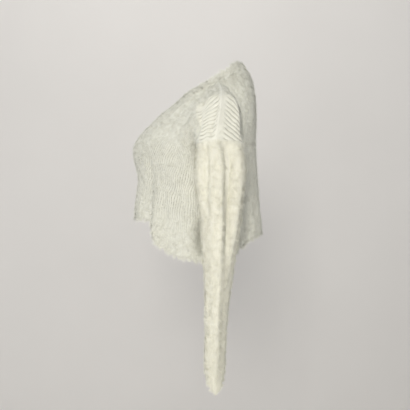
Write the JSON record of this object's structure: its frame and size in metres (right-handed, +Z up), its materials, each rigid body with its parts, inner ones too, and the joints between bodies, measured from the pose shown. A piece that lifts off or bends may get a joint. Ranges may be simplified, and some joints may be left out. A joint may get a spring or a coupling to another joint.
{
  "type": "cropped knit sweater",
  "caption": "Hollow cropped crew-neck knit sweater in its worn shape, with dropped shoulders, long sleeves hanging down and a brushed, fine-ribbed pile.",
  "frame": {"origin": "on the centre plane, midway between the neck ends of the shoulder seams, where a figure's shoulders carry the sweater", "axes": "+Z up, -Y towards the sweater's front, +X towards the wearer's left"},
  "size_m": [0.526, 0.3031, 0.7161],
  "materials": {
    "body_knit": "cream fine-ribbed knit with a long brushed pile",
    "sleeve_knit": "cream fine-ribbed knit with a long brushed pile",
    "neckband_knit": "cream knit band, ribs hidden under the pile"
  },
  "bodies": {
    "root": {"front": "body_knit", "back": "body_knit", "sleeve_left": "sleeve_knit", "sleeve_right": "sleeve_knit", "neckband": "neckband_knit"}
  },
  "joints": []
}
